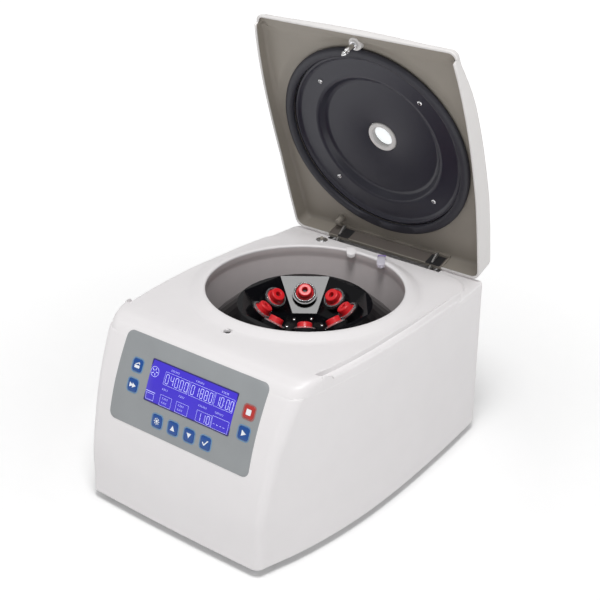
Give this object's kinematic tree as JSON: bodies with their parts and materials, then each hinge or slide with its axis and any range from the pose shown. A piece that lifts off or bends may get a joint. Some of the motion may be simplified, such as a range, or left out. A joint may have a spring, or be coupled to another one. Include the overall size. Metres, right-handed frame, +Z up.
{
  "type": "laboratory centrifuge",
  "caption": "Benchtop laboratory centrifuge with an open hinged lid, a fixed-angle rotor holding capped tubes, and a keypad with display on its sloping front.",
  "frame": {"origin": "bottom centre of the bounding box with the lid open: on the bench, under the middle of the machine", "axes": "+Z up, the control panel faces -Y, +X to the machine's right as seen from behind the panel's user"},
  "size_m": [0.3064, 0.4397, 0.5011],
  "materials": {
    "casing": "satin",
    "lid": "satin",
    "liner": "satin",
    "bowl": "satin",
    "panel": "matte",
    "display": "gloss",
    "key_blue": "satin",
    "key_red": "satin",
    "cap": "satin",
    "tube": "gloss",
    "rotor_alloy": "gloss black anodised",
    "disc": "satin",
    "seal": "satin",
    "foot_rubber": "matte",
    "black_plastic": "satin",
    "steel": "brushed",
    "alloy": "satin",
    "chrome": "polished",
    "board": "matte",
    "glass": "clear"
  },
  "bodies": {
    "casing": {"housing": "casing", "base_pan": "steel", "foot_front_left": "foot_rubber", "foot_front_right": "foot_rubber", "foot_rear_left": "foot_rubber", "foot_rear_right": "foot_rubber", "chamber_bowl": "bowl", "shaft_boot": "foot_rubber", "motor": "alloy", "motor_plate": "steel", "damper_front": "foot_rubber", "damper_left": "foot_rubber", "damper_right": "foot_rubber", "control_panel": "panel", "display": "display", "control_board": "board", "rear_panel": "steel", "power_inlet": "black_plastic", "hinge_pin": "steel", "hinge_bracket": "steel", "latch_housing": "black_plastic"},
    "lid": {"lid_shell": "lid", "lid_liner": "liner", "lid_seal": "seal", "lid_disc": "disc", "viewport_ring": "liner", "viewport_glass": "glass", "striker_pin": "chrome", "hinge_arm_left": "steel", "hinge_arm_right": "steel"},
    "rotor": {"rotor": "rotor_alloy", "rotor_hub": "rotor_alloy", "motor_shaft": "steel"},
    "tube_1": {"tube_1": "tube", "tube_cap_1": "cap"},
    "tube_2": {"tube_2": "tube", "tube_cap_2": "cap"},
    "tube_3": {"tube_3": "tube", "tube_cap_3": "cap"},
    "tube_4": {"tube_4": "tube", "tube_cap_4": "cap"},
    "tube_5": {"tube_5": "tube", "tube_cap_5": "cap"},
    "tube_6": {"tube_6": "tube", "tube_cap_6": "cap"},
    "tube_7": {"tube_7": "tube", "tube_cap_7": "cap"},
    "tube_8": {"tube_8": "tube", "tube_cap_8": "cap"},
    "key_lid": {"key_lid": "key_blue"},
    "key_spin": {"key_spin": "key_blue"},
    "key_menu": {"key_menu": "key_blue"},
    "key_up": {"key_up": "key_blue"},
    "key_down": {"key_down": "key_blue"},
    "key_enter": {"key_enter": "key_blue"},
    "key_stop": {"key_stop": "key_red"},
    "key_start": {"key_start": "key_blue"},
    "latch_bolt": {"latch_bolt": "steel"},
    "lid_switch_pin": {"lid_switch_pin": "liner"},
    "power_switch": {"power_switch": "black_plastic"}
  },
  "joints": [
    {"name": "lid_hinge", "type": "hinge", "parent": "casing", "child": "lid", "pos_m": [0, 0.1743, 0.195], "axis": [1, 0, 0], "range_deg": [0, 71.35]},
    {"name": "rotor_spin", "type": "hinge", "parent": "casing", "child": "rotor", "pos_m": [0, 0.0171, 0.137], "axis": [0, 0, 1], "continuous": true},
    {"name": "tube_1_lift", "type": "slide", "parent": "rotor", "child": "tube_1", "axis": [-0.6369, 0.0865, 0.766], "range_m": [0, 0.024]},
    {"name": "tube_2_lift", "type": "slide", "parent": "rotor", "child": "tube_2", "axis": [-0.5115, -0.3893, 0.766], "range_m": [0, 0.024]},
    {"name": "tube_3_lift", "type": "slide", "parent": "rotor", "child": "tube_3", "axis": [-0.0865, -0.6369, 0.766], "range_m": [0, 0.024]},
    {"name": "tube_4_lift", "type": "slide", "parent": "rotor", "child": "tube_4", "axis": [0.3893, -0.5115, 0.766], "range_m": [0, 0.024]},
    {"name": "tube_5_lift", "type": "slide", "parent": "rotor", "child": "tube_5", "axis": [0.6369, -0.0865, 0.766], "range_m": [0, 0.024]},
    {"name": "tube_6_lift", "type": "slide", "parent": "rotor", "child": "tube_6", "axis": [0.5115, 0.3893, 0.766], "range_m": [0, 0.024]},
    {"name": "tube_7_lift", "type": "slide", "parent": "rotor", "child": "tube_7", "axis": [0.0865, 0.6369, 0.766], "range_m": [0, 0.024]},
    {"name": "tube_8_lift", "type": "slide", "parent": "rotor", "child": "tube_8", "axis": [-0.3893, 0.5115, 0.766], "range_m": [0, 0.024]},
    {"name": "key_lid_press", "type": "slide", "parent": "casing", "child": "key_lid", "axis": [0, 0.9121, -0.41], "range_m": [0, 0.0006], "stiffness_N_per_m": 4000},
    {"name": "key_spin_press", "type": "slide", "parent": "casing", "child": "key_spin", "axis": [0, 0.9121, -0.41], "range_m": [0, 0.0006], "stiffness_N_per_m": 4000},
    {"name": "key_menu_press", "type": "slide", "parent": "casing", "child": "key_menu", "axis": [0, 0.9121, -0.41], "range_m": [0, 0.0006], "stiffness_N_per_m": 4000},
    {"name": "key_up_press", "type": "slide", "parent": "casing", "child": "key_up", "axis": [0, 0.9121, -0.41], "range_m": [0, 0.0006], "stiffness_N_per_m": 4000},
    {"name": "key_down_press", "type": "slide", "parent": "casing", "child": "key_down", "axis": [0, 0.9121, -0.41], "range_m": [0, 0.0006], "stiffness_N_per_m": 4000},
    {"name": "key_enter_press", "type": "slide", "parent": "casing", "child": "key_enter", "axis": [0, 0.9121, -0.41], "range_m": [0, 0.0006], "stiffness_N_per_m": 4000},
    {"name": "key_stop_press", "type": "slide", "parent": "casing", "child": "key_stop", "axis": [0, 0.9121, -0.41], "range_m": [0, 0.0006], "stiffness_N_per_m": 4000},
    {"name": "key_start_press", "type": "slide", "parent": "casing", "child": "key_start", "axis": [0, 0.9121, -0.41], "range_m": [0, 0.0006], "stiffness_N_per_m": 4000},
    {"name": "latch_bolt_slide", "type": "slide", "parent": "casing", "child": "latch_bolt", "axis": [1, 0, 0], "range_m": [0, 0.003], "stiffness_N_per_m": 500},
    {"name": "lid_switch_travel", "type": "slide", "parent": "casing", "child": "lid_switch_pin", "axis": [0, 0, -1], "range_m": [0, 0.003], "stiffness_N_per_m": 500},
    {"name": "power_switch_rock", "type": "hinge", "parent": "casing", "child": "power_switch", "pos_m": [-0.02, 0.1831, 0.067], "axis": [-1, 0, 0], "range_deg": [0, 16]}
  ]
}
